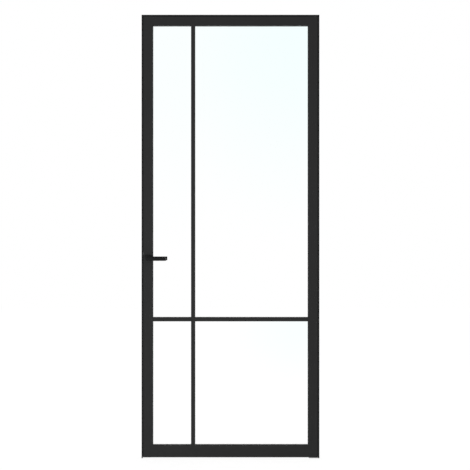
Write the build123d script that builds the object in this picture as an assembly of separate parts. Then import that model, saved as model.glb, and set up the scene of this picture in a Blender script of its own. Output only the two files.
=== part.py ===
from build123d import *
import os

# Glazed steel door set: a slim angle frame with a leaf of hollow steel sections, four panes between
# tee bars, hidden corner pivots on the right and a lever set with a magnetic catch on the left.
# Units are millimetres. X runs right as seen from the front, Y runs away from the viewer, Z is up.
# The origin is on the floor, in the middle of the width and of the leaf's depth.

# Overall sizes and running gaps
door_width = 930.0
door_height = 2320.0
leaf_depth = 40.0
side_gap = 3.0
head_gap = 3.0
floor_gap = 5.0
stop_gap = 4.0

# Frame angle
frame_wall = 5.0
stop_reach = 15.0
frame_edge_radius = 0.8

# Leaf sections
tube_wall = 2.0
tube_corner = 2.0
tube_inner_corner = 1.0
stile_tube = 43.0
top_tube = 39.0
bottom_tube = 55.5
lip = 8.0
lip_depth = 3.0
edge_round = 0.5

# Tee bars, placed as shares of the leaf's width and height
bar_web = 5.0
vertical_bar_share = 0.2858
horizontal_bar_share = 0.3128

# Glazing
front_gasket = 3.0
glass_depth = 8.0
back_gasket = 3.0
glass_clearance = 1.5
gasket_set_back = 0.4
bead_wall = 1.2
setting_block_length = 40.0
setting_block_share = 0.25

# Seals on the stop
seal_width = 5.5
seal_inset = 0.8
seal_clearance = 0.4
seal_bore = 1.0
seal_swing_clearance = 1.0

# Corner pivots
pivot_from_edge = 14.0
pivot_from_face = 8.0
pin_radius = 4.0
bush_radius = 5.0
bush_flange_radius = 7.0
bush_flange = 1.5
running_clearance = 0.05
pivot_block_height = 40.0
block_corner = 1.5
pin_in_block = 30.0
pin_below_top = 0.5
floor_plate = 4.0
floor_plate_length = 50.0
floor_plate_inset = 2.0
washer_radius = 7.0
washer_clearance = 0.3
floor_screw_radius = 2.75
floor_screw_head = 5.0
floor_screw_inset = 9.0
floor_screw_row = 10.0

# Wall fixing holes in the jambs
fixing_radius = 3.25
fixing_head = 6.0
fixing_row = 5.0
fixing_outer_share = 0.82
fixing_inner_share = 0.28

# Lever set
handle_height = 1044.0
backset = 25.0
lever_radius = 10.2
lever_offset = 45.0
lever_length = 96.5
lever_end_chamfer = 0.8
lever_shadow_gap = 0.5
spindle_size = 8.0
spindle_play = 0.1
spindle_reach = 26.0
socket_spare = 2.0
spindle_hole = 10.0
rose_radius = 17.0
rose_height = 7.0
rose_wall = 1.2
rose_chamfer = 0.8
grub_radius = 2.5
grub_share = 0.55

# Latch case and forend
forend_width = 20.0
forend_below = 45.0
forend_above = 75.0
forend_screw_radius = 2.0
forend_screw_head = 3.8
forend_screw_length = 7.0
forend_screw_inset = 7.0
lug_depth = 4.0
lug_height = 24.0
lug_overlap = 14.0
case_width = 16.0
case_depth = 36.0
case_below = 28.0
case_above = 58.0
case_wall = 1.5

# Follower, catch bolt and spring
follower_radius = 9.0
journal_radius = 7.0
arm_reach = 15.0
arm_width = 3.2
arm_depth = 6.0
arm_angle = -26.0
side_play = 0.1
bolt_width = 11.0
bolt_height = 16.0
bolt_bottom = 17.0
bolt_reach = 2.3
bolt_play = 0.15
hook_depth = 2.6
hook_bottom = 10.0
magnet_radius = 4.0
magnet_depth = 3.0
spring_radius = 3.5
spring_wire = 0.8
spring_turns = 3.0

# Strike in the latch jamb
strike_depth = 2.0
strike_width = 20.0
strike_height = 70.0
strike_screw_row = 52.0
strike_screw_radius = 2.0
strike_screw_head = 3.6
strike_screw_length = 4.0

# Length added to cutting tools so that they pass clear of the faces they cut
overrun = 1.0

# How far a sketch corner may lie from the point it is looked up by
corner_tolerance = 0.01

# Positions that follow from the sizes above
half_width = door_width / 2
half_depth = leaf_depth / 2
stop_front = half_depth + stop_gap
stop_back = stop_front + frame_wall
leaf_edge = half_width - frame_wall - side_gap
leaf_top = door_height - frame_wall - head_gap
leaf_bottom = floor_gap
leaf_height = leaf_top - leaf_bottom
stile_face = leaf_edge - stile_tube
rail_under = leaf_top - top_tube
rail_over = leaf_bottom + bottom_tube
half_web = bar_web / 2
bar_x = -leaf_edge + vertical_bar_share * 2 * leaf_edge
bar_z = leaf_bottom + horizontal_bar_share * leaf_height
lip_back = -half_depth + lip_depth
glass_front = lip_back + front_gasket
glass_back = glass_front + glass_depth
bead_front = glass_back + back_gasket
pivot_x = leaf_edge - pivot_from_edge
pivot_y = -half_depth + pivot_from_face
handle_x = -leaf_edge + backset
lever_y = half_depth + lever_offset
bolt_z = handle_height + bolt_bottom + bolt_height / 2
tube_inside = leaf_edge - tube_wall
case_back = -tube_inside + case_depth

parts = {}


def block(x0, x1, y0, y1, z0, z1):
    """A box between two corners."""
    middle = Pos((x0 + x1) / 2, (y0 + y1) / 2, (z0 + z1) / 2)
    return middle * Box(x1 - x0, y1 - y0, z1 - z0)


def rod(start, direction, radius, length):
    """A round bar from a start point along a direction."""
    plane = Plane(origin=start, z_dir=direction)
    return plane.location * extrude(Circle(radius), length)


def countersunk_hole(face, outward, radius, head_radius, depth):
    """The cutter of a countersunk screw hole that starts on a face, with outward pointing off it."""
    cone = head_radius - radius
    outline = Polygon(
        (0, 0), (head_radius, 0), (radius, -cone), (radius, -depth), (0, -depth), align=None
    )
    turned = revolve(Plane.XZ * outline, Axis.Z)
    return Plane(origin=face, z_dir=outward).location * turned


def corners(sketch, points):
    """The vertices of a sketch that lie at the given points."""
    return [
        vertex
        for vertex in sketch.vertices()
        if any((Vector(vertex) - Vector(*point)).length < corner_tolerance for point in points)
    ]


def along(origin, inward):
    """A plane for a length of section: X points into the pane or doorway, Y runs through the door."""
    return Plane(origin=origin, x_dir=inward, z_dir=Vector(*inward).cross(Vector(0, 1, 0)))


def angle_bar(plane, length, start_mitred, end_mitred):
    """One length of the frame's angle, with its outer face on the plane's own Y axis."""
    front = -half_depth
    outline = Polygon(
        (0, front), (frame_wall, front), (frame_wall, stop_front), (stop_reach, stop_front),
        (stop_reach, stop_back), (0, stop_back), align=None,
    )
    rounded = [(0, front), (frame_wall, front), (stop_reach, stop_front), (stop_reach, stop_back)]
    bar = extrude(fillet(corners(outline, rounded), frame_edge_radius), length)
    near = stop_reach if start_mitred else 0
    far = length - stop_reach if end_mitred else length
    side = Polygon((0, 0), (0, length), (stop_reach, far), (stop_reach, near), align=None)
    bar &= extrude(Plane.XZ * side, 2 * stop_back, both=True)
    return plane.location * bar


def hollow_section(plane, length, width, start_cope, end_cope):
    """A hollow leaf section with a glazing lip that is cut back over a length at each end."""
    outline = Polygon(
        (0, -half_depth), (width + lip, -half_depth), (width + lip, lip_back), (width, lip_back),
        (width, half_depth), (0, half_depth), align=None,
    )
    outline = fillet(corners(outline, [(0, -half_depth), (0, half_depth)]), tube_corner)
    outline = fillet(corners(outline, [(width + lip, -half_depth)]), edge_round)
    outline -= Pos(width / 2, 0) * RectangleRounded(
        width - 2 * tube_wall, leaf_depth - 2 * tube_wall, tube_inner_corner
    )
    bar = extrude(outline, length)
    far = width + lip + overrun
    for low, high in ((-overrun, start_cope), (length - end_cope, length + overrun)):
        bar -= block(width, far, -half_depth - overrun, lip_back + overrun, low, high)
    return plane.location * bar


def tee_bar(plane, length):
    """A tee bar centred on the plane's origin, with its flange cut back by the lip at each end."""
    half_face = half_web + lip
    outline = Polygon(
        (-half_face, -half_depth), (half_face, -half_depth), (half_face, lip_back), (half_web, lip_back),
        (half_web, half_depth), (-half_web, half_depth), (-half_web, lip_back), (-half_face, lip_back),
        align=None,
    )
    front = [(-half_face, -half_depth), (half_face, -half_depth)]
    bar = extrude(fillet(corners(outline, front), edge_round), length)
    wide = half_face + overrun
    for low, high in ((-overrun, lip), (length - lip, length + overrun)):
        bar -= block(-wide, wide, -half_depth - overrun, lip_back, low, high)
    return plane.location * bar


def bead(plane, length):
    """One glazing bead, a folded channel with its open side towards the tube or the web."""
    low, high = bead_front + bead_wall, half_depth - bead_wall
    outline = Polygon(
        (0, bead_front), (lip, bead_front), (lip, half_depth), (0, half_depth),
        (0, high), (lip - bead_wall, high), (lip - bead_wall, low), (0, low), align=None,
    )
    outline = fillet(corners(outline, [(lip, half_depth)]), edge_round)
    return plane.location * extrude(outline, length)


def forend_plate(grow):
    """The forend's outline through the wall of the lock stile."""
    height = forend_below + forend_above
    middle = handle_height + (forend_above - forend_below) / 2
    plane = Plane(origin=(-leaf_edge, 0, middle), x_dir=(0, 0, 1), z_dir=(1, 0, 0))
    return plane.location * extrude(SlotOverall(height + 2 * grow, forend_width + 2 * grow), tube_wall)


def forend_screw_holes():
    """The holes of the two screws that hold the forend to its lugs."""
    low = handle_height - forend_below + forend_screw_inset
    high = handle_height + forend_above - forend_screw_inset
    return [
        countersunk_hole(
            (-leaf_edge, 0, z), (-1, 0, 0),
            forend_screw_radius, forend_screw_head, forend_screw_length,
        )
        for z in (low, high)
    ]


def strike_screw_holes():
    """The holes of the strike plate's two screws."""
    return [
        countersunk_hole(
            (-half_width + frame_wall, 0, bolt_z + way * strike_screw_row / 2), (1, 0, 0),
            strike_screw_radius, strike_screw_head, strike_screw_length,
        )
        for way in (-1, 1)
    ]


def fixing_holes(side):
    """Countersunk wall fixing holes of one jamb, on the left (-1) or the right (1)."""
    inner = half_width - frame_wall
    heights = [
        door_height / 2 + way * share * door_height / 2
        for share in (fixing_outer_share, fixing_inner_share)
        for way in (-1, 1)
    ]
    return [
        countersunk_hole(
            (side * inner, fixing_row, z), (-side, 0, 0),
            fixing_radius, fixing_head, frame_wall + overrun,
        )
        for z in heights
    ]


def make_frame():
    left = along((-half_width, 0, 0), (1, 0, 0))
    right = along((half_width, 0, door_height), (-1, 0, 0))
    top = along((-half_width, 0, door_height), (0, 0, -1))

    latch_jamb = angle_bar(left, door_height, False, True)
    for hole in fixing_holes(-1):
        latch_jamb -= hole
    inner = -half_width + frame_wall
    face = Plane(origin=(inner, 0, bolt_z), x_dir=(0, 0, 1), z_dir=(-1, 0, 0))
    strike = face.location * extrude(SlotOverall(strike_height, strike_width), strike_depth)
    latch_jamb -= strike
    magnet = rod((inner, 0, bolt_z), (-1, 0, 0), magnet_radius, strike_depth)
    strike -= magnet
    for hole in strike_screw_holes():
        latch_jamb -= hole
        strike -= hole
    parts["frame_latch_jamb"] = [latch_jamb]
    parts["strike_plate"] = [strike]
    parts["strike_magnet"] = [magnet]

    hinge_jamb = angle_bar(right, door_height, True, False)
    for hole in fixing_holes(1):
        hinge_jamb -= hole
    parts["frame_hinge_jamb"] = [hinge_jamb]

    head = angle_bar(top, door_width, True, True)
    under = door_height - frame_wall
    head -= rod((pivot_x, pivot_y, under), (0, 0, 1), bush_radius, frame_wall + overrun)
    parts["frame_head"] = [head]
    bush = rod((pivot_x, pivot_y, under), (0, 0, 1), bush_radius, frame_wall)
    bush += rod((pivot_x, pivot_y, under - bush_flange), (0, 0, 1), bush_flange_radius, bush_flange)
    bore = pin_radius + running_clearance
    bush -= rod((pivot_x, pivot_y, under - bush_flange), (0, 0, 1), bore, frame_wall + bush_flange)
    parts["top_pivot_bush"] = [bush]


def make_seals():
    """Rubber strips on the stop, behind the latch stile and the top rail."""
    high = stop_gap - seal_clearance
    outline = Polygon(
        (0, -high / 2), (seal_width, -high / 2), (seal_width, 0), (0, 0), align=None
    )
    outline += Pos(seal_width / 2, -high / 2) * Circle(high / 2)
    outline -= Pos(seal_width / 2, -high / 2) * Circle(seal_bore)
    start = leaf_edge - seal_inset
    upper = leaf_top - seal_inset
    left = along((-start, stop_front, leaf_bottom), (1, 0, 0))
    strip = left.location * extrude(outline, upper - seal_width - leaf_bottom)
    parts["stop_seal_latch"] = [strip]
    swing = (pivot_from_edge**2 + (half_depth - pivot_y) ** 2) ** 0.5
    level = stop_front - high - pivot_y
    end = pivot_x - max(swing**2 - level**2, 0) ** 0.5 - seal_swing_clearance
    top = along((-start, stop_front, upper), (0, 0, -1))
    strip = top.location * extrude(outline, start + end)
    parts["stop_seal_head"] = [strip]


def make_pivots():
    """Bottom plate and pin on the floor, and the blocks that close the pivot stile's ends."""
    jamb = half_width - frame_wall
    plate = block(
        jamb - floor_plate_length, jamb, -half_depth + floor_plate_inset,
        half_depth - floor_plate_inset, 0, floor_plate,
    )
    for way in (-1, 1):
        x = jamb - floor_plate_length + floor_screw_inset
        plate -= countersunk_hole(
            (x, way * floor_screw_row, floor_plate), (0, 0, 1),
            floor_screw_radius, floor_screw_head, floor_plate + overrun,
        )
    pin = rod((pivot_x, pivot_y, 0), (0, 0, 1), pin_radius, leaf_bottom + pin_in_block)
    parts["bottom_pivot_plate"] = [plate - pin]
    parts["bottom_pivot_pin"] = [pin]
    gap = leaf_bottom - floor_plate
    washer = rod((pivot_x, pivot_y, floor_plate), (0, 0, 1), washer_radius, gap)
    washer -= rod((pivot_x, pivot_y, floor_plate), (0, 0, 1), pin_radius + washer_clearance, gap)
    parts["thrust_washer"] = [washer]

    bore_depth = pin_in_block + running_clearance
    low = stile_plug(pivot_x, leaf_bottom)
    low -= rod((pivot_x, pivot_y, leaf_bottom), (0, 0, 1), bush_radius, bore_depth)
    parts["bottom_pivot_block"] = [low]
    bush = rod((pivot_x, pivot_y, leaf_bottom), (0, 0, 1), bush_radius, bore_depth)
    bush -= rod((pivot_x, pivot_y, leaf_bottom), (0, 0, 1), pin_radius + running_clearance, bore_depth)
    parts["bottom_pivot_bush"] = [bush]

    foot = leaf_top - pin_in_block
    top_pin = rod((pivot_x, pivot_y, foot), (0, 0, 1), pin_radius, door_height - pin_below_top - foot)
    parts["top_pivot_pin"] = [top_pin]
    high = stile_plug(pivot_x, leaf_top - pivot_block_height)
    parts["top_pivot_block"] = [high - top_pin]
    parts["lock_stile_plugs"] = [
        stile_plug(handle_x, leaf_bottom),
        stile_plug(handle_x, leaf_top - pivot_block_height),
    ]


def stile_plug(near_x, z0):
    """A block that fills the hollow of a stile over the height of a pivot block."""
    side = 1 if near_x > 0 else -1
    wide = stile_tube - 2 * tube_wall
    deep = leaf_depth - 2 * tube_wall
    middle = side * (tube_inside - wide / 2)
    outline = Pos(middle, 0, z0) * RectangleRounded(wide, deep, block_corner)
    return extrude(outline, pivot_block_height)


def make_leaf():
    left = along((-leaf_edge, 0, leaf_bottom), (1, 0, 0))
    right = along((leaf_edge, 0, leaf_top), (-1, 0, 0))
    lock_stile = hollow_section(left, leaf_height, stile_tube, bottom_tube, top_tube)
    hinge_stile = hollow_section(right, leaf_height, stile_tube, top_tube, bottom_tube)
    lock_stile -= forend_plate(side_play)
    through = rod(
        (handle_x, -half_depth - overrun, handle_height), (0, 1, 0),
        spindle_hole, leaf_depth + 2 * overrun,
    )
    lock_stile -= through
    parts["lock_stile"] = [lock_stile]
    parts["hinge_stile"] = [hinge_stile]

    top = along((-stile_face, 0, leaf_top), (0, 0, -1))
    bottom = along((stile_face, 0, leaf_bottom), (0, 0, 1))
    parts["top_rail"] = [hollow_section(top, 2 * stile_face, top_tube, lip, lip)]
    parts["bottom_rail"] = [hollow_section(bottom, 2 * stile_face, bottom_tube, lip, lip)]

    upright = along((bar_x, 0, rail_over), (1, 0, 0))
    parts["vertical_bar"] = [tee_bar(upright, rail_under - rail_over)]
    for name, start, end in (
        ("left", -stile_face, bar_x - half_web),
        ("right", bar_x + half_web, stile_face),
    ):
        level = along((start, 0, bar_z), (0, 0, -1))
        parts["horizontal_bar_" + name] = [tee_bar(level, end - start)]


def gasket(x0, x1, z0, z1, y0, y1):
    """A flat rubber ring around a pane's edge, between two depths."""
    outside = 2 * glass_clearance
    inside = 2 * (lip - gasket_set_back)
    outline = Rectangle(x1 - x0 - outside, z1 - z0 - outside)
    outline -= Rectangle(x1 - x0 - inside, z1 - z0 - inside)
    plane = Plane(origin=((x0 + x1) / 2, y1, (z0 + z1) / 2), x_dir=(1, 0, 0), z_dir=(0, -1, 0))
    return plane.location * extrude(outline, y1 - y0)


def make_glazing():
    columns = {"left": (-stile_face, bar_x - half_web), "right": (bar_x + half_web, stile_face)}
    rows = {"lower": (rail_over, bar_z - half_web), "upper": (bar_z + half_web, rail_under)}
    settings = []
    for row, (z0, z1) in rows.items():
        for column, (x0, x1) in columns.items():
            pane = row + "_" + column
            edge = glass_clearance
            glass = block(x0 + edge, x1 - edge, glass_front, glass_back, z0 + edge, z1 - edge)
            parts["glass_" + pane] = [glass]
            parts["front_gasket_" + pane] = [gasket(x0, x1, z0, z1, lip_back, glass_front)]
            parts["back_gasket_" + pane] = [gasket(x0, x1, z0, z1, glass_back, bead_front)]
            upright = z1 - z0 - 2 * lip
            parts["beads_" + pane] = [
                bead(along((x1, 0, z0), (0, 0, 1)), x1 - x0),
                bead(along((x0, 0, z1), (0, 0, -1)), x1 - x0),
                bead(along((x0, 0, z0 + lip), (1, 0, 0)), upright),
                bead(along((x1, 0, z1 - lip), (-1, 0, 0)), upright),
            ]
            for share in (setting_block_share, 1 - setting_block_share):
                middle = x0 + share * (x1 - x0)
                half = setting_block_length / 2
                settings.append(
                    block(middle - half, middle + half, glass_front, glass_back, z0, z0 + edge)
                )
    parts["setting_blocks"] = settings


def make_roses():
    """Rose bases on the lock stile, with covers over them."""
    bore = lever_radius + running_clearance
    for side, name in ((-1, "front"), (1, "back")):
        face = (handle_x, side * half_depth, handle_height)
        out = (0, side, 0)
        cover = rod(face, out, rose_radius, rose_height)
        rim = cover.edges().filter_by(GeomType.CIRCLE).sort_by(Axis.Y)[0 if side < 0 else -1]
        cover = chamfer(rim, rose_chamfer)
        cover -= rod(face, out, rose_radius - rose_wall, rose_height - rose_wall)
        cover -= rod(face, out, bore, rose_height)
        parts["rose_cover_" + name] = [cover]
        base = rod(face, out, rose_radius - rose_wall, rose_height - rose_wall)
        base -= rod(face, out, bore, rose_height - rose_wall)
        parts["rose_base_" + name] = [base]


def make_levers():
    """Two mitred round levers on one square spindle."""
    start = (handle_x, -half_depth - lever_shadow_gap, handle_height)
    corner = (handle_x, -lever_y, handle_height)
    tip = (handle_x + lever_length, -lever_y, handle_height)
    path = Polyline(start, corner, tip)
    disc = Plane(origin=start, z_dir=(0, -1, 0)) * Circle(lever_radius)
    lever = sweep(disc, path=path, transition=Transition.RIGHT)
    end = lever.edges().filter_by(GeomType.CIRCLE).sort_by(Axis.X)[-1]
    lever = chamfer(end, lever_end_chamfer)

    half = spindle_size / 2
    reach = half_depth + spindle_reach
    spindle = block(
        handle_x - half, handle_x + half, -reach, reach, handle_height - half, handle_height + half
    )
    wide = half + spindle_play / 2
    lever -= block(
        handle_x - wide, handle_x + wide, -reach - socket_spare, 0,
        handle_height - wide, handle_height + wide,
    )
    grub_y = half_depth + grub_share * spindle_reach
    under = handle_height - lever_radius - overrun
    lever -= rod((handle_x, -grub_y, under), (0, 0, 1), grub_radius, handle_height - under)
    parts["lever_front"] = [lever]
    parts["lever_back"] = [mirror(lever, about=Plane.XZ)]
    parts["spindle"] = [spindle]


def make_latch():
    """Case, forend, follower, magnetic catch bolt and spring inside the lock stile."""
    forend = forend_plate(0)
    half_bolt = bolt_width / 2
    low = bolt_z - bolt_height / 2
    high = bolt_z + bolt_height / 2
    hole = block(
        -leaf_edge - overrun, -tube_inside + overrun, -half_bolt - bolt_play, half_bolt + bolt_play,
        low - bolt_play, high + bolt_play,
    )
    forend -= hole
    lugs = []
    inside = -tube_inside
    half_lug = forend_width / 2
    foot = handle_height - forend_below + lug_overlap - lug_height
    crown = handle_height + forend_above - lug_overlap
    for z in (foot, crown):
        lugs.append(block(inside, inside + lug_depth, -half_lug, half_lug, z, z + lug_height))
    for index, hole in enumerate(forend_screw_holes()):
        forend -= hole
        lugs[index] -= hole
    parts["latch_forend"] = [forend]
    parts["lock_lugs"] = lugs

    bottom = handle_height - case_below
    top = handle_height + case_above
    half_case = case_width / 2
    tray = block(inside, case_back, -half_case, half_case - case_wall, bottom, top)
    tray -= block(
        inside, case_back - case_wall, -half_case + case_wall, half_case,
        bottom + case_wall, top - case_wall,
    )
    cover = block(inside, case_back, half_case - case_wall, half_case, bottom, top)
    eye = rod(
        (handle_x, -half_case, handle_height), (0, 1, 0), journal_radius + running_clearance, case_width
    )
    parts["latch_case"] = [tray - eye]
    parts["latch_cover"] = [cover - eye]

    hub_half = half_case - case_wall - side_play
    hub = rod((handle_x, -hub_half, handle_height), (0, 1, 0), follower_radius, 2 * hub_half)
    hub += rod((handle_x, -half_case, handle_height), (0, 1, 0), journal_radius, case_width)
    arm = block(-arm_width / 2, arm_width / 2, -arm_depth / 2, arm_depth / 2, 0, arm_reach)
    hub += Pos(handle_x, 0, handle_height) * Rot(0, arm_angle, 0) * arm
    wide = (spindle_size + spindle_play) / 2
    hub -= block(
        handle_x - wide, handle_x + wide, -half_case, half_case,
        handle_height - wide, handle_height + wide,
    )
    parts["follower"] = [hub]

    nose = -leaf_edge - bolt_reach
    bolt = block(nose, handle_x, -half_bolt, half_bolt, low, high)
    half_arm = arm_depth / 2
    bolt += block(
        handle_x - hook_depth, handle_x, -half_arm, half_arm, handle_height + hook_bottom, high
    )
    magnet = rod((nose, 0, bolt_z), (1, 0, 0), magnet_radius, magnet_depth)
    parts["latch_bolt"] = [bolt - magnet]
    parts["latch_magnet"] = [magnet]

    length = case_back - case_wall - handle_x - spring_wire
    coil = Helix(length / spring_turns, length, spring_radius)
    ring_start = Plane(origin=coil @ 0, z_dir=coil % 0)
    spring = sweep(ring_start * Rectangle(spring_wire, spring_wire), path=coil, is_frenet=True)
    seat = Plane(origin=(handle_x + spring_wire / 2, 0, bolt_z), z_dir=(1, 0, 0))
    parts["latch_spring"] = [seat.location * spring]


make_frame()
make_seals()
make_pivots()
make_leaf()
make_glazing()
make_roses()
make_levers()
make_latch()

os.makedirs("parts", exist_ok=True)
for name, solids in parts.items():
    shape = solids[0] if len(solids) == 1 else Compound(children=solids)
    export_step(shape, "parts/" + name + ".step")
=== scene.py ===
# %% [markdown]
# # A slim steel glass door
# The imported model already holds every rigid piece of the door set: frame, leaf, panes, lever
# set and catch. This lesson gives those pieces their finishes, adds the small socket screws,
# winds a catch spring, and sets up the floor, the light and the camera. All sizes are in
# metres.

# %% Load the imported door
import math
import bmesh
import bpy
from mathutils import Matrix, Vector


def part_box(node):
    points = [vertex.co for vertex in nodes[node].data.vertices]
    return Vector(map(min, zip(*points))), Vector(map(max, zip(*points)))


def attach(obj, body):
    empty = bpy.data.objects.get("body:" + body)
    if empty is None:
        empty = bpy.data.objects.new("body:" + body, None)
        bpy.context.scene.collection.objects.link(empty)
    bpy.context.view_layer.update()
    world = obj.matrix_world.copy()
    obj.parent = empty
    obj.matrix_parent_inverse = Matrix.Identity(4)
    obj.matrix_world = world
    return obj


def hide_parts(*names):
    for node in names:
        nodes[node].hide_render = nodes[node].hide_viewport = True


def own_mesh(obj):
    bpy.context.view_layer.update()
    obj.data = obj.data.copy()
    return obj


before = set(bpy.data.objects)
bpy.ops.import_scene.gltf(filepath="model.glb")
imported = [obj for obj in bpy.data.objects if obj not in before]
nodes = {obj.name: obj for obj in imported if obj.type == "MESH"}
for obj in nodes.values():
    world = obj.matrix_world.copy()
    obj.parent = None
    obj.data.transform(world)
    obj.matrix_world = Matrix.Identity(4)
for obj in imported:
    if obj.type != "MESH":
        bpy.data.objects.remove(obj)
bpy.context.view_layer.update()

scene = bpy.context.scene
print("packed nodes", len(nodes))

# %% [markdown]
# ## Shared effect: powder grain
# A powder coat is not a smooth paint. It cures into a fine orange peel with tiny matt specks,
# about half a millimetre apart. A picture of such a surface could be laid on, but it would need
# UV maps and would repeat along a rail of two metres. Noise on Object coordinates keeps its
# size on every piece and never repeats. The frame, the levers, the rubber and the nylon all
# have some grain, so it is a node group: built once, then placed in each material with that
# material's own values.

# %% Give the grain group its sockets
powder_grain = bpy.data.node_groups.new("powder_grain", "ShaderNodeTree")
grain_takes = {
    "Place": "Vector", "Grains per metre": "Float", "Dark": "Color", "Light": "Color",
    "Rough low": "Float", "Rough high": "Float",
}
grain_gives = {"Colour": "Color", "Roughness": "Float", "Height": "Float"}
for way, sockets in (("INPUT", grain_takes), ("OUTPUT", grain_gives)):
    for name, kind in sockets.items():
        powder_grain.interface.new_socket(name, in_out=way, socket_type="NodeSocket" + kind)
print(powder_grain.name, "takes", list(grain_takes), "and gives", list(grain_gives))

# %% [markdown]
# Two noises fill the group. The fine one is the grain itself: it is the height for a bump, and
# it makes some specks rougher than others. The slow one is a drift in tone over some ten
# centimetres, which keeps a long flat rail from looking like a paper cut-out. Most values of a
# noise lie near its middle, so a Map Range stretches that middle over the whole span of
# roughness. These few helpers come back in the other finishes.

# %% Start a noise, a range, a mix and a link
def noise(tree, detail, scale=1.0):
    node = tree.nodes.new("ShaderNodeTexNoise")
    node.inputs["Detail"].default_value = detail
    node.inputs["Scale"].default_value = scale
    return node


def noise_range(tree, low=0.0, high=1.0, middle=(0.3, 0.7)):
    """A Map Range from the middle of a noise to low and high."""
    node = tree.nodes.new("ShaderNodeMapRange")
    node.inputs["From Min"].default_value, node.inputs["From Max"].default_value = middle
    node.inputs["To Min"].default_value = low
    node.inputs["To Max"].default_value = high
    return node


def colour_mix(tree):
    """A Mix node for colours. Its type comes first, because that decides which sockets it has."""
    node = tree.nodes.new("ShaderNodeMix")
    node.data_type = "RGBA"
    return node


def join(tree, *pairs):
    """Link the output and the input of each pair."""
    for output, socket in pairs:
        tree.links.new(output, socket)


fine = noise(powder_grain, detail=3.0)
slow = noise(powder_grain, detail=4.0, scale=9.0)
print("tone drifts over about", round(1 / slow.inputs["Scale"].default_value, 2), "m")

# %% Wire the grain group
start = powder_grain.nodes.new("NodeGroupInput")
end = powder_grain.nodes.new("NodeGroupOutput")
tone = colour_mix(powder_grain)
rough = noise_range(powder_grain)
join(
    powder_grain,
    (start.outputs["Place"], fine.inputs["Vector"]),
    (start.outputs["Place"], slow.inputs["Vector"]),
    (start.outputs["Grains per metre"], fine.inputs["Scale"]),
    (slow.outputs["Fac"], tone.inputs["Factor"]),
    (start.outputs["Dark"], tone.inputs["A"]),
    (start.outputs["Light"], tone.inputs["B"]),
    (fine.outputs["Fac"], rough.inputs["Value"]),
    (start.outputs["Rough low"], rough.inputs["To Min"]),
    (start.outputs["Rough high"], rough.inputs["To Max"]),
    (tone.outputs["Result"], end.inputs["Colour"]),
    (rough.outputs["Result"], end.inputs["Roughness"]),
    (fine.outputs["Fac"], end.inputs["Height"]),
)
print(powder_grain.name, len(powder_grain.nodes), "nodes", len(powder_grain.links), "links")

# %% [markdown]
# ## How a finish starts
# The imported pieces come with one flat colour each. A finish replaces it with a Principled BSDF:
# what is the same all over is set on the shader's own sockets, and only what changes over the
# surface is linked. Object coordinates are metres on the door, so a pattern has its real size
# on a long rail and on a small screw alike.

# %% Start a finish
def new_finish(name, **values):
    """A material with one Principled BSDF, whose sockets are set by name."""
    material = bpy.data.materials.new(name)
    material.use_nodes = True
    shader = material.node_tree.nodes["Principled BSDF"]
    for socket, value in values.items():
        shader.inputs[socket.replace("_", " ")].default_value = value
    return material, material.node_tree, shader


def object_place(tree):
    return tree.nodes.new("ShaderNodeTexCoord").outputs["Object"]


def relief(tree, strength, depth):
    """A Bump node; depth is the height of the relief in metres."""
    node = tree.nodes.new("ShaderNodeBump")
    node.inputs["Strength"].default_value = strength
    node.inputs["Distance"].default_value = depth
    return node


packed_finishes = {material.name for node in nodes.values() for material in node.data.materials}
print("packed finishes", sorted(packed_finishes))

# %% [markdown]
# ## Matt black finishes
# The steel of the frame and leaf carries one fine matt coat. The levers are a shade darker and
# a little smoother, as fittings that are bought separately often are, and rubber and nylon are
# darker too. The roses are painted a touch lighter than the frame's coat: a painted fill light
# against the shadow that the lever throws on them. One black for all would be quicker, but then
# the pieces would melt into one shape. They share the grain group, and differ only in the values
# for it, for the bump and for the gloss.

# %% Make the black finishes
peel_depth = 0.0002


def grained(name, dark, light, rough, grains, bump, specular):
    material, tree, shader = new_finish(name, Specular_IOR_Level=specular)
    grain = tree.nodes.new("ShaderNodeGroup")
    grain.node_tree = powder_grain
    grain.inputs["Grains per metre"].default_value = grains
    grain.inputs["Dark"].default_value = (*dark, 1)
    grain.inputs["Light"].default_value = (*light, 1)
    grain.inputs["Rough low"].default_value, grain.inputs["Rough high"].default_value = rough
    peel = relief(tree, bump, peel_depth)
    join(
        tree,
        (object_place(tree), grain.inputs["Place"]),
        (grain.outputs["Colour"], shader.inputs["Base Color"]),
        (grain.outputs["Roughness"], shader.inputs["Roughness"]),
        (grain.outputs["Height"], peel.inputs["Height"]),
        (peel.outputs["Normal"], shader.inputs["Normal"]),
    )
    print(name, "with", grains, "grains a metre")
    return material


coat = grained(
    "matt_black_coat", dark=(0.0169, 0.0170, 0.0172), light=(0.0209, 0.0210, 0.0210),
    rough=(0.5, 0.64), grains=1500, bump=0.3, specular=0.12,
)
lever_coat = grained(
    "lever_black", dark=(0.0078, 0.0078, 0.008), light=(0.0102, 0.0102, 0.0104),
    rough=(0.42, 0.54), grains=1900, bump=0.2, specular=0.08,
)
# Roses: a touch lighter than the coat, a painted fill light against the lever's shadow.
rose_coat_painted_fill = grained(
    "rose_black_painted_fill", dark=(0.0185, 0.0185, 0.0187), light=(0.0215, 0.0215, 0.0217),
    rough=(0.45, 0.58), grains=1700, bump=0.25, specular=0.15,
)
rubber = grained(
    "seal_rubber", dark=(0.006, 0.006, 0.006), light=(0.009, 0.009, 0.009),
    rough=(0.7, 0.85), grains=2500, bump=0.2, specular=0.15,
)
nylon = grained(
    "dull_nylon", dark=(0.008, 0.008, 0.008), light=(0.012, 0.012, 0.012),
    rough=(0.5, 0.65), grains=3000, bump=0.15, specular=0.25,
)

# %% Dress the black pieces
def dress(material, *names):
    """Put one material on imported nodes, in place of the one that they came with."""
    for name in names:
        mesh = nodes[name].data
        mesh.materials.clear()
        mesh.materials.append(material)
    print("pieces in", material.name + ":", len(names))


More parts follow.
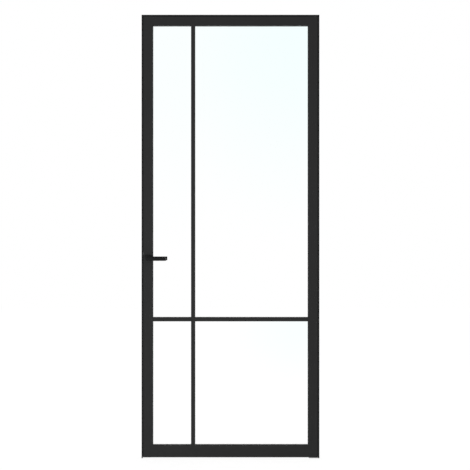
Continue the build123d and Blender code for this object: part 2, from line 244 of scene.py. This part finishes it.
panes = [f"{row}_{side}" for row in ("lower", "upper") for side in ("left", "right")]
dress(
    coat, "frame_hinge_jamb", "frame_latch_jamb", "frame_head",
    "hinge_stile", "lock_stile", "top_rail", "bottom_rail",
    "vertical_bar", "horizontal_bar_left", "horizontal_bar_right",
    *[f"beads_{pane}" for pane in panes],
)
dress(lever_coat, "lever_front", "lever_back")
dress(rose_coat_painted_fill, "rose_cover_front", "rose_cover_back")
dress(
    rubber, "stop_seal_latch", "stop_seal_head",
    *[f"front_gasket_{pane}" for pane in panes], *[f"back_gasket_{pane}" for pane in panes],
)
dress(
    nylon, "rose_base_front", "rose_base_back", "setting_blocks", "lock_stile_plugs",
    "top_pivot_bush", "thrust_washer",
)

# %% [markdown]
# ## Bare metal
# The catch, the strike, the floor plate and the pins are satin steel. Brushed metal looks
# streaked because its scratches are long one way and fine the other. Anisotropic gloss could
# give that, but it wants tangents on every piece. Here a Mapping node stretches the noise along
# the height instead, and the noise drives tone, roughness and a slight bump. The bearing is
# sintered bronze and the magnets are nickel: there all three scales are the same, so the grain
# is even.

# %% Make the bare metals
scratch_strength, scratch_depth = 0.15, 0.00003


def brushed(name, dark, light, rough, stretch):
    material, tree, shader = new_finish(name, Metallic=1.0)
    turn = tree.nodes.new("ShaderNodeMapping")
    turn.inputs["Scale"].default_value = stretch
    streak = noise(tree, detail=4.0)
    spread = noise_range(tree, *rough)
    tone = colour_mix(tree)
    tone.inputs["A"].default_value = (*dark, 1)
    tone.inputs["B"].default_value = (*light, 1)
    scratch = relief(tree, scratch_strength, scratch_depth)
    join(
        tree,
        (object_place(tree), turn.inputs["Vector"]),
        (turn.outputs["Vector"], streak.inputs["Vector"]),
        (streak.outputs["Fac"], spread.inputs["Value"]),
        (streak.outputs["Fac"], tone.inputs["Factor"]),
        (streak.outputs["Fac"], scratch.inputs["Height"]),
        (tone.outputs["Result"], shader.inputs["Base Color"]),
        (spread.outputs["Result"], shader.inputs["Roughness"]),
        (scratch.outputs["Normal"], shader.inputs["Normal"]),
    )
    print(name, "with noise scaled by", stretch)
    return material


steel = brushed(
    "brushed_steel", dark=(0.2, 0.2, 0.2), light=(0.5, 0.5, 0.49),
    rough=(0.24, 0.5), stretch=(2200, 2200, 70),
)
bronze = brushed(
    "bearing_bronze", dark=(0.12, 0.075, 0.04), light=(0.18, 0.115, 0.06),
    rough=(0.42, 0.6), stretch=(3000, 3000, 3000),
)
nickel = brushed(
    "bright_nickel", dark=(0.5, 0.49, 0.46), light=(0.62, 0.61, 0.58),
    rough=(0.12, 0.22), stretch=(900, 900, 900),
)

# %% Dress the metal pieces
dress(
    steel, "strike_plate", "bottom_pivot_plate", "bottom_pivot_pin",
    "top_pivot_block", "top_pivot_pin", "bottom_pivot_block",
    "latch_case", "latch_cover", "latch_forend", "lock_lugs", "spindle", "follower", "latch_bolt",
)
dress(bronze, "bottom_pivot_bush")
dress(nickel, "strike_magnet", "latch_magnet")

# %% [markdown]
# ## Clear panes
# Clear toughened glass is nearly colourless. Over a white background the panes show only a
# breath of cyan, which deepens towards the upper right corner of each; that cyan is a painted
# reflection in the glass's base colour. One flat colour would be simpler, but it would lose that.
# So each pane gets its own gradient: a Mapping node moves the strong corner to zero, the length
# of the moved vector is then the distance from that corner, and a Map Range turns it into a mix
# between the painted cyan and clear. Transmission and metallic stay plain numbers on the shader.

# %% Make the glass
def pane_glass(pane, red, reach):
    """Glass for one pane with a painted cyan reflection; red is the red channel of that cyan at
    the upper right corner, and it fades to clear at reach.
    """
    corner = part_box(f"glass_{pane}")[1]
    material, tree, shader = new_finish(
        f"clear_glass_{pane}", Roughness=0.0, IOR=1.5, Transmission_Weight=1.0, Metallic=0.0
    )
    shift = tree.nodes.new("ShaderNodeMapping")
    shift.inputs["Location"].default_value = (-corner.x, 0, -corner.z)
    shift.inputs["Scale"].default_value = (1, 0, 1)
    length = tree.nodes.new("ShaderNodeVectorMath")
    length.operation = "LENGTH"
    fade = tree.nodes.new("ShaderNodeMapRange")
    fade.interpolation_type = "SMOOTHSTEP"
    fade.inputs["From Max"].default_value = reach
    # Painted reflection: cyan at the upper right corner, fading to clear at reach.
    painted_reflection = colour_mix(tree)
    painted_reflection.inputs["A"].default_value = (red, 1, 1, 1)
    painted_reflection.inputs["B"].default_value = (1, 1, 1, 1)
    join(
        tree,
        (object_place(tree), shift.inputs["Vector"]),
        (shift.outputs["Vector"], length.inputs[0]),
        (length.outputs["Value"], fade.inputs["Value"]),
        (fade.outputs["Result"], painted_reflection.inputs["Factor"]),
        (painted_reflection.outputs["Result"], shader.inputs["Base Color"]),
    )
    dress(material, f"glass_{pane}")


# Each pane's painted reflection: how strong its cyan is and how far it reaches.
pane_glass("upper_right", red=0.905, reach=1.25)
pane_glass("upper_left", red=0.955, reach=1.3)
pane_glass("lower_right", red=0.945, reach=0.55)
pane_glass("lower_left", red=0.99, reach=0.3)

# %% [markdown]
# ## Socket screws
# The strike, the forend, the floor plate and the levers are each held by a pair of small screws
# with a hex socket. A screw could be a lathe profile alone, but then the socket would be
# missing. Here a hexagon is subdivided until it has as many corners as the rim, and a bridge
# between the two loops makes the face.

# %% Make the face of a screw
rim_corners, socket_sides = 24, 6


def screw_face(head, socket):
    """A flat ring with a hexagonal hole; also returns the edges of the hole and of the rim."""
    shape = bmesh.new()
    bmesh.ops.create_circle(shape, segments=rim_corners, radius=head)
    rim = list(shape.edges)
    bmesh.ops.create_circle(shape, segments=socket_sides, radius=socket)
    sides = [edge for edge in shape.edges if edge not in rim]
    bmesh.ops.subdivide_edges(shape, edges=sides, cuts=rim_corners // socket_sides - 1)
    hole = [edge for edge in shape.edges if edge not in rim]
    bmesh.ops.bridge_loops(shape, edges=hole + rim)
    return shape, hole, rim


strike_screw = dict(head=0.0034, shank=0.0019, length=0.0038, socket=0.0013)
sample, hole, rim = screw_face(strike_screw["head"], strike_screw["socket"])
print("screw face", len(hole), "edges inside,", len(rim), "outside,", len(sample.faces), "faces")
sample.free()

# %% [markdown]
# Both loops are then drawn down: the hole into the socket, which narrows a little, and the rim
# into the cone and the shank. A small bevel breaks the sharp rim, so that it catches the light.
# One function serves the flat heads and the headless grub screws, whose cone is only a hair
# deep.

# %% Give the screw its depth
below_face = 0.0001
socket_depth, socket_taper, rim_bevel = 0.9, 0.92, 0.06


def draw_down(shape, edges, depth, scale):
    """Extrude a loop of edges down -Z and scale its far end, whose edges are returned."""
    grown = bmesh.ops.extrude_edge_only(shape, edges=edges)["geom"]
    verts = [item for item in grown if isinstance(item, bmesh.types.BMVert)]
    bmesh.ops.translate(shape, verts=verts, vec=(0, 0, -depth))
    bmesh.ops.scale(shape, verts=verts, vec=(scale, scale, 1))
    return [item for item in grown if isinstance(item, bmesh.types.BMEdge) and item.is_boundary]


def to_mesh(name, shape):
    mesh = bpy.data.meshes.new(name)
    shape.to_mesh(mesh)
    shape.free()
    return mesh


def screw_mesh(name, head, shank, length, socket):
    """A screw at the origin, with its face on the XY plane and its shank down -Z."""
    shape, hole, rim = screw_face(head, socket)
    bottom = draw_down(shape, hole, socket * socket_depth, socket_taper)
    bmesh.ops.edgeloop_fill(shape, edges=bottom)
    neck = max(head - shank, below_face)
    cone = draw_down(shape, rim, neck, shank / head)
    tip = draw_down(shape, cone, length - neck, 1.0)
    bmesh.ops.edgeloop_fill(shape, edges=tip)
    bmesh.ops.bevel(
        shape, geom=rim, offset=head * rim_bevel, offset_type="OFFSET",
        segments=2, profile=0.5, affect="EDGES", material=-1,
    )
    bmesh.ops.recalc_face_normals(shape, faces=shape.faces)
    return to_mesh(name, shape)


sample = screw_mesh("sample_screw", **strike_screw)
print("screw", len(sample.vertices), "corners", len(sample.polygons), "faces")
bpy.data.meshes.remove(sample)

# %% [markdown]
# Screws come in pairs here, and a pair is one piece. Its places follow from the node that
# carries it. A head ends a hair below the face of its plate, so that the countersink stays
# visible around it. The place goes into the mesh and the object stays at the origin, as it does
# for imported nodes.

# %% Put screws in pairs, the strike's first
def put_in_scene(name, data):
    thing = bpy.data.objects.new(name, data)
    scene.collection.objects.link(thing)
    return thing


def screw_pair(name, body, places, facing, screw):
    one = screw_mesh(name + "_one", **screw)
    turn = Vector((0, 0, 1)).rotation_difference(Vector(facing)).to_matrix().to_4x4()
    shape = bmesh.new()
    for place in places:
        before = set(shape.verts)
        shape.from_mesh(one)
        added = [vert for vert in shape.verts if vert not in before]
        bmesh.ops.transform(shape, matrix=Matrix.Translation(place) @ turn, verts=added)
    bpy.data.meshes.remove(one)
    mesh = to_mesh(name, shape)
    mesh.materials.append(steel)
    pair = put_in_scene(name, mesh)
    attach(pair, body)
    size = tuple(round(v * 1000, 1) for v in pair.dimensions)
    print(name, len(mesh.polygons), "faces", size, "mm")


strike_low, strike_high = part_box("strike_plate")
strike_middle = (strike_low.z + strike_high.z) / 2
strike_reach = 0.026
screw_pair(
    "strike_screws", "frame",
    [(strike_high.x - below_face, 0, strike_middle + way * strike_reach) for way in (-1, 1)],
    facing=(1, 0, 0), screw=strike_screw,
)

# %% Screw down the forend and the floor plate
forend_low, forend_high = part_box("latch_forend")
forend_inset = 0.007
screw_pair(
    "forend_screws", "leaf",
    [
        (forend_low.x + below_face, 0, z)
        for z in (forend_low.z + forend_inset, forend_high.z - forend_inset)
    ],
    facing=(-1, 0, 0), screw=dict(head=0.0036, shank=0.0019, length=0.0062, socket=0.0014),
)

plate_low, plate_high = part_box("bottom_pivot_plate")
plate_inset, plate_reach = 0.009, 0.010
screw_pair(
    "floor_plate_screws", "frame",
    [
        (plate_low.x + plate_inset, way * plate_reach, plate_high.z - below_face)
        for way in (-1, 1)
    ],
    facing=(0, 0, 1), screw=dict(head=0.0047, shank=0.0026, length=0.0036, socket=0.0018),
)

# %% Lock the levers
lever_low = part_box("lever_front")[0]
lever_radius, grub_sink = 0.0102, 0.0008
neck_middle = 0.0343
screw_pair(
    "lever_grub_screws", "handle",
    [
        (lever_low.x + lever_radius, way * neck_middle, lever_low.z + grub_sink)
        for way in (-1, 1)
    ],
    facing=(0, 0, -1), screw=dict(head=0.00245, shank=0.00245, length=0.0052, socket=0.0013),
)

# %% [markdown]
# ## Catch spring
# Behind the bolt sits a small coil spring that shortens when the lever draws the bolt in. The
# imported solid is stiff, so a coil takes its place here. A helix could be a curve with a bevel,
# but a spin with a step along its axis draws the same coil as a plain mesh.

# %% Wind the spring
wire, turns = 0.0008, 4
wire_sides, steps_a_turn = 8, 24
spring_low, spring_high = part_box("latch_spring")
spring_middle = (spring_low.z + spring_high.z) / 2
coil_radius = (spring_high.z - spring_low.z - wire) / 2
steps = turns * steps_a_turn
rise = (spring_high.x - spring_low.x - wire) / steps

shape = bmesh.new()
bmesh.ops.create_circle(shape, segments=wire_sides, radius=wire / 2)
bmesh.ops.translate(shape, verts=shape.verts, vec=(wire / 2, coil_radius, 0))
bmesh.ops.spin(
    shape, geom=shape.verts[:] + shape.edges[:], cent=(0, 0, 0), axis=(1, 0, 0),
    dvec=(rise, 0, 0), angle=math.tau * turns, steps=steps,
)
bmesh.ops.holes_fill(shape, edges=[edge for edge in shape.edges if edge.is_boundary])
bmesh.ops.translate(shape, verts=shape.verts, vec=(spring_low.x, 0, spring_middle))
bmesh.ops.recalc_face_normals(shape, faces=shape.faces)
coil = to_mesh("catch_spring", shape)
coil.materials.append(steel)
coil.shade_smooth()
print("coil", len(coil.polygons), "faces,", turns, "turns of", round(coil_radius * 1000, 2), "mm")

# %% Hang the spring on the leaf, in place of the stiff one
spring = put_in_scene("catch_spring", coil)
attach(spring, "leaf")
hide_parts("latch_spring")
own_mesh(spring)

# %% [markdown]
# ## Floor and backdrop
# The door stands before plain white. More light could bleach the floor and the background, but
# it would bleach the door as well. Light Path tells the rays apart instead: rays from the
# camera, and those that a mirror or a pane sends on, see full white, while light that scatters
# meets a dimmer room. The floor keeps a share of diffuse, so that it still holds the door's
# soft shadow.

# %% Lay the floor
floor_half, floor_cells = 12.0, 8
shape = bmesh.new()
bmesh.ops.create_grid(shape, x_segments=floor_cells, y_segments=floor_cells, size=floor_half)
floor = put_in_scene("floor", to_mesh("floor", shape))
print("floor", tuple(round(v, 2) for v in floor.dimensions), "m")

# %% Let the floor show white
def seen_directly(tree):
    """1 on rays from the camera or from a mirror or pane, and 0 on light that scatters."""
    rays = tree.nodes.new("ShaderNodeLightPath")
    seen = rays.outputs["Is Camera Ray"]
    for kind in ("Is Glossy Ray", "Is Transmission Ray"):
        either = tree.nodes.new("ShaderNodeMath")
        either.operation = "MAXIMUM"
        join(tree, (seen, either.inputs[0]), (rays.outputs[kind], either.inputs[1]))
        seen = either.outputs[0]
    return seen


floor_glow, glow_share = 1.18, 0.75
material, tree, shader = new_finish(
    "pale_floor", Base_Color=(0.86, 0.86, 0.86, 1), Roughness=0.9, Specular_IOR_Level=0.1
)
glow = tree.nodes.new("ShaderNodeEmission")
glow.inputs["Strength"].default_value = floor_glow
share = tree.nodes.new("ShaderNodeMath")
share.operation = "MULTIPLY"
share.inputs[1].default_value = glow_share
blend = tree.nodes.new("ShaderNodeMixShader")
join(
    tree,
    (seen_directly(tree), share.inputs[0]),
    (share.outputs[0], blend.inputs["Fac"]),
    (shader.outputs["BSDF"], blend.inputs[1]),
    (glow.outputs["Emission"], blend.inputs[2]),
    (blend.outputs["Shader"], tree.nodes["Material Output"].inputs["Surface"]),
)
floor.data.materials.append(material)
print(material.name, "glows at", round(floor_glow * glow_share, 3), "before its diffuse share")

# %% Make the world white
room_light, room_seen = 0.55, 1.0
world = bpy.data.worlds.new("white_room")
scene.world = world
world.use_nodes = True
sky = world.node_tree
back = sky.nodes["Background"]
back.inputs["Color"].default_value = (1, 1, 1, 1)
level = sky.nodes.new("ShaderNodeMapRange")
level.inputs["To Min"].default_value = room_light
level.inputs["To Max"].default_value = room_seen
join(
    sky,
    (seen_directly(sky), level.inputs["Value"]),
    (level.outputs["Result"], back.inputs["Strength"]),
)
print(world.name, "lights at", room_light, "and shows at", room_seen)

# %% [markdown]
# ## Light
# The photograph has a dark spot just above the lever's root, which points to a light low in
# front. A lamp there throws the lever's shadow upwards, and it is aimed past the latch side, so
# that the tone falls off a little towards the pivot side and the top. A second lamp lights the
# back, and one from above picks out upward faces, such as the tops of the beads. They are
# hidden from the camera and from mirrored and refracted rays, because a view from the side or a
# pane would show them as hard white squares; gloss comes from the white room instead. The lamps
# in front and behind also skip the floor by light linking: they would draw bright patches on
# it, which hide the painted cyan reflection of a pane that stands before them.

# %% Hang the lamps
def soft_lamp(name, place, aim, size, power):
    data = bpy.data.lights.new(name, "AREA")
    data.shape = "SQUARE"
    data.size = size
    data.energy = power
    lamp = put_in_scene(name, data)
    lamp.location = place
    lamp.rotation_euler = (Vector(aim) - Vector(place)).to_track_quat("-Z", "Y").to_euler()
    lamp.visible_camera = False
    lamp.visible_glossy = False
    lamp.visible_transmission = False
    print(name, power, "W", round((Vector(aim) - Vector(place)).length, 2), "m from its aim")
    return lamp


def skip_floor(lamp):
    """Light linking: a receiver list with the floor as its one exception."""
    lit = bpy.data.collections.new(lamp.name + "_lit")
    lit.objects.link(floor)
    lit.collection_objects[0].light_linking.link_state = "EXCLUDE"
    lamp.light_linking.receiver_collection = lit


skip_floor(soft_lamp("lamp_front", (0.1, -3.6, 0.22), aim=(-6.3, 0, 3.7), size=0.4, power=153))
skip_floor(soft_lamp("lamp_back", (2.4, 3.6, 1.4), aim=(0, 0, 1.1), size=1.8, power=90))
soft_lamp("lamp_top", (0, 0.6, 4.6), aim=(0, 0, 0.2), size=2.0, power=30)

# %% [markdown]
# ## Camera
# The photograph is a straight front view: verticals stay parallel, and the inner edges show
# that the camera stands about six metres away at half the door's height, a touch to the right.
# A lens shift could centre the door as well, but a level camera in the right place needs none.

# %% Place the camera
sensor_mm = 36.0
view_angle = math.radians(23.155)
optics = bpy.data.cameras.new("front_view")
optics.sensor_width = sensor_mm
optics.lens = sensor_mm / 2 / math.tan(view_angle / 2)
camera = put_in_scene("front_view", optics)
camera.location = (0.0237, -6.02, 1.168)
camera.rotation_euler = (math.radians(90), 0, 0)
scene.camera = camera
scene.view_settings.view_transform = "Standard"
print("lens", round(optics.lens, 2), "mm")
